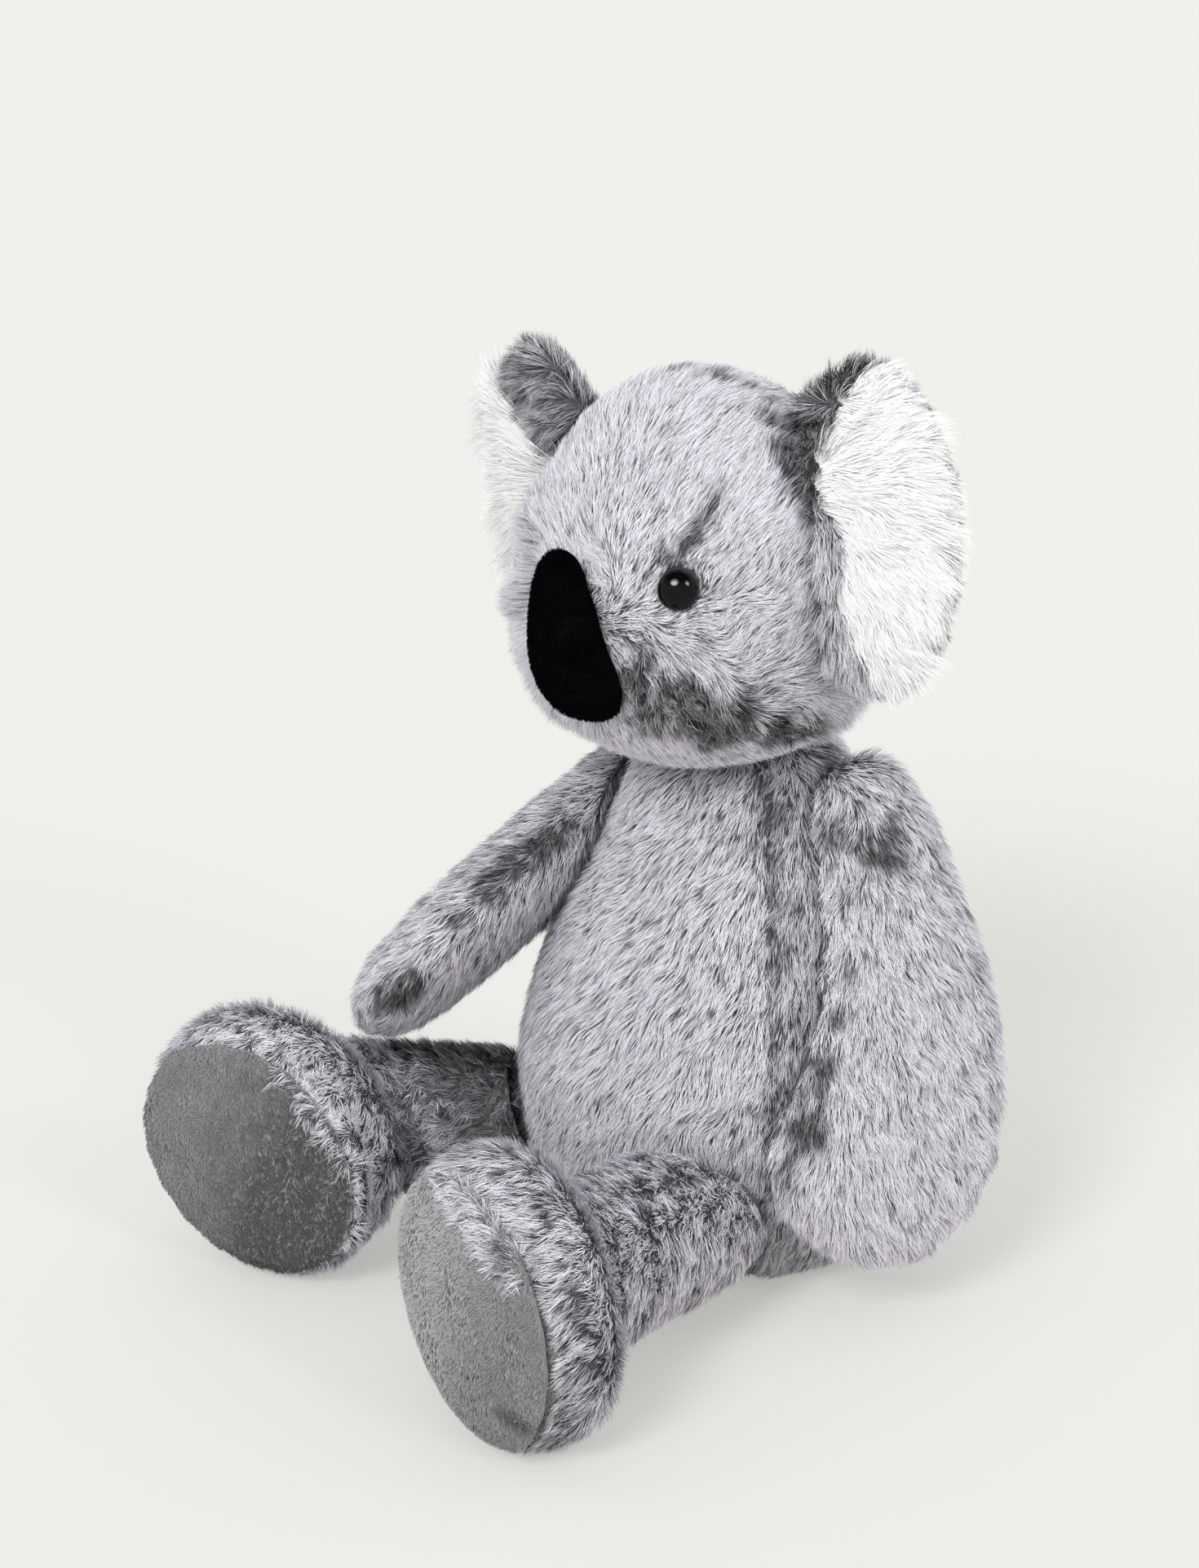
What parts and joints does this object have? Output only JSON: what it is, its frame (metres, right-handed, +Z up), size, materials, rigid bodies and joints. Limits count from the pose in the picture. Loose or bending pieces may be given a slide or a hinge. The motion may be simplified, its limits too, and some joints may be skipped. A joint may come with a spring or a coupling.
{
  "type": "plush koala",
  "caption": "Sitting plush koala with a stuffed fur body, a turning head, swinging arms and legs, white-fronted ears, a tall nose pad and locked safety eyes.",
  "frame": {"origin": "middle of the flat seat, on the surface it sits on, under the neck", "axes": "+Z up, -Y the way the body faces, +X the koala's left"},
  "size_m": [0.2163, 0.2232, 0.3048],
  "materials": {
    "grey_fur": "frosted long-pile faux fur",
    "white_fur": "long-pile faux fur",
    "sole_velour": "brushed short pile",
    "nose_velour": "short pile",
    "stuffing": "loose polyester fibre",
    "pellet_cloth": "plain cloth filled with plastic pellets",
    "eye_plastic": "glossy",
    "washer_plastic": "moulded"
  },
  "bodies": {
    "body": {"body_skin": "grey_fur", "body_fill": "stuffing", "pellet_bag": "pellet_cloth"},
    "head": {"head_skin": "grey_fur", "head_fill": "stuffing", "nose": "nose_velour", "ear_left_back": "grey_fur", "ear_left_front": "white_fur", "eye_left": "eye_plastic", "eye_left_washer": "washer_plastic", "ear_right_back": "grey_fur", "ear_right_front": "white_fur", "eye_right": "eye_plastic", "eye_right_washer": "washer_plastic"},
    "arm_left": {"arm_left_skin": "grey_fur", "arm_left_fill": "stuffing"},
    "arm_right": {"arm_right_skin": "grey_fur", "arm_right_fill": "stuffing"},
    "leg_left": {"leg_left_skin": "grey_fur", "leg_left_fill": "stuffing", "sole_left": "sole_velour"},
    "leg_right": {"leg_right_skin": "grey_fur", "leg_right_fill": "stuffing", "sole_right": "sole_velour"}
  },
  "joints": [
    {"name": "head_turn", "type": "hinge", "parent": "body", "child": "head", "pos_m": [0, 0, 0.17], "axis": [0, 0, 1], "range_deg": [-50, 30]},
    {"name": "arm_left_lift", "type": "hinge", "parent": "body", "child": "arm_left", "pos_m": [0.03662, 0.0082, 0.16906], "axis": [0, -0.9638, 0.2666], "range_deg": [0, 60]},
    {"name": "arm_right_lift", "type": "hinge", "parent": "body", "child": "arm_right", "pos_m": [-0.04173, 0.02455, 0.16246], "axis": [0, 0.5274, -0.8496], "range_deg": [0, 60]},
    {"name": "leg_left_drop", "type": "hinge", "parent": "body", "child": "leg_left", "pos_m": [0.034, -0.042, 0.031], "axis": [0.9698, 0.244, 0], "range_deg": [0, 60]},
    {"name": "leg_right_drop", "type": "hinge", "parent": "body", "child": "leg_right", "pos_m": [-0.034, -0.042, 0.031], "axis": [0.967, -0.255, 0], "range_deg": [0, 60]}
  ]
}
